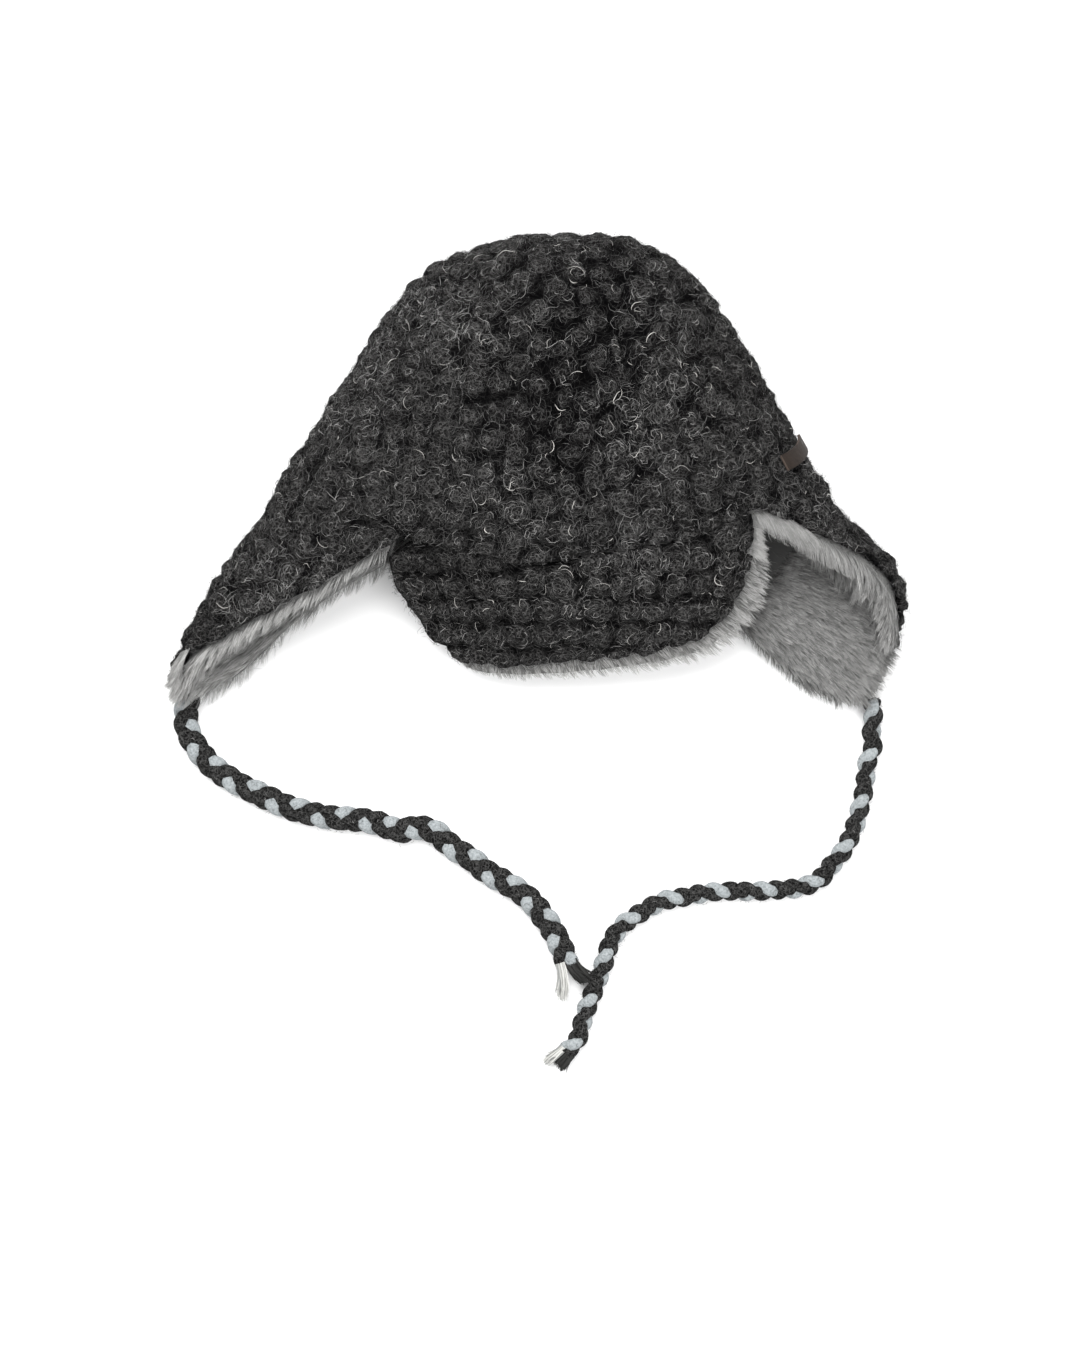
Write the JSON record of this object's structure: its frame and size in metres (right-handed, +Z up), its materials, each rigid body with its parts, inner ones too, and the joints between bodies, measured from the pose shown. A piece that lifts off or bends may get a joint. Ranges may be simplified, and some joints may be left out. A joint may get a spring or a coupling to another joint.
{
  "type": "beanie",
  "caption": "Chunky knitted beanie with a soft visor, ear flaps, a grey faux-fur lining and braided ties, lying on its back",
  "frame": {"origin": "on the flat face that the back of the hat rests on, under the middle of the crown", "axes": "+X to the flap whose lining shows, +Y to the top of the crown, +Z up out of the front of the lying hat"},
  "size_m": [0.4029, 0.4594, 0.0922],
  "materials": {
    "charcoal_wool": "chunky popcorn-stitch wool knit, charcoal, with pale stray fibres",
    "grey_fur": "short grey faux fur, combed",
    "brown_leather": "bare dark brown leather",
    "pale_tape": "pale blue-grey knitted tape, frayed at its end"
  },
  "bodies": {
    "root": {"crown_knit": "charcoal_wool", "crown_fur": "grey_fur", "ear_flap_left_knit": "charcoal_wool", "ear_flap_left_fur": "grey_fur", "ear_flap_right_knit": "charcoal_wool", "ear_flap_right_fur": "grey_fur", "visor_knit": "charcoal_wool", "visor_fur": "grey_fur", "leather_tab": "brown_leather", "braid_left": "charcoal_wool", "braid_left_tuft": "pale_tape", "braid_right": "charcoal_wool", "braid_right_tuft": "pale_tape"}
  },
  "joints": []
}
